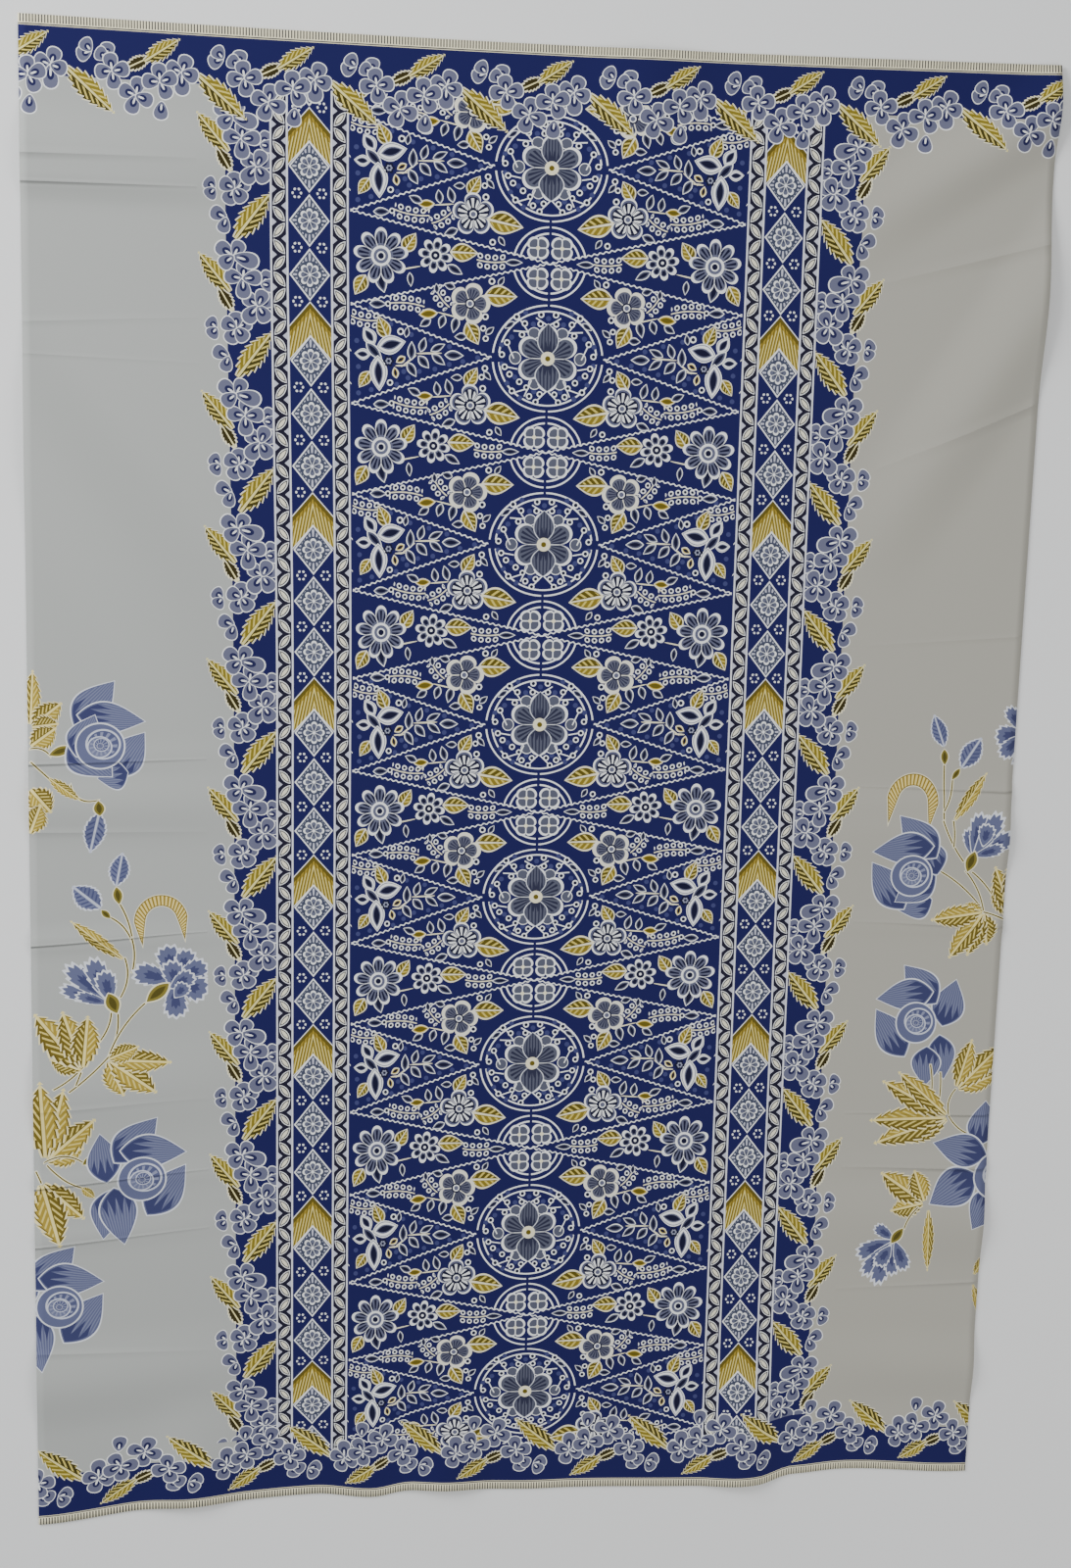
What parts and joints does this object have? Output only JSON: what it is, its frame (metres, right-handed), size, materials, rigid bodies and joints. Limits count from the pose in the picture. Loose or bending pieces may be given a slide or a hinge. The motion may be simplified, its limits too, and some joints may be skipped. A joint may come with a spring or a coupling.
{
  "type": "batik cloth",
  "caption": "Rectangular cotton sarong cloth laid flat, printed with a flowered centre panel, narrow bands and flower chains on plain grey ends.",
  "frame": {"origin": "centre of the cloth's box, on the surface that the cloth lies on", "axes": "+X across the cloth to the right, +Y up the cloth towards its upper selvedge, +Z out of its printed face"},
  "size_m": [0.7183, 1.0702, 0.0085],
  "materials": {
    "cotton": "matte"
  },
  "bodies": {
    "root": {"batik_cloth": "cotton"}
  },
  "joints": []
}
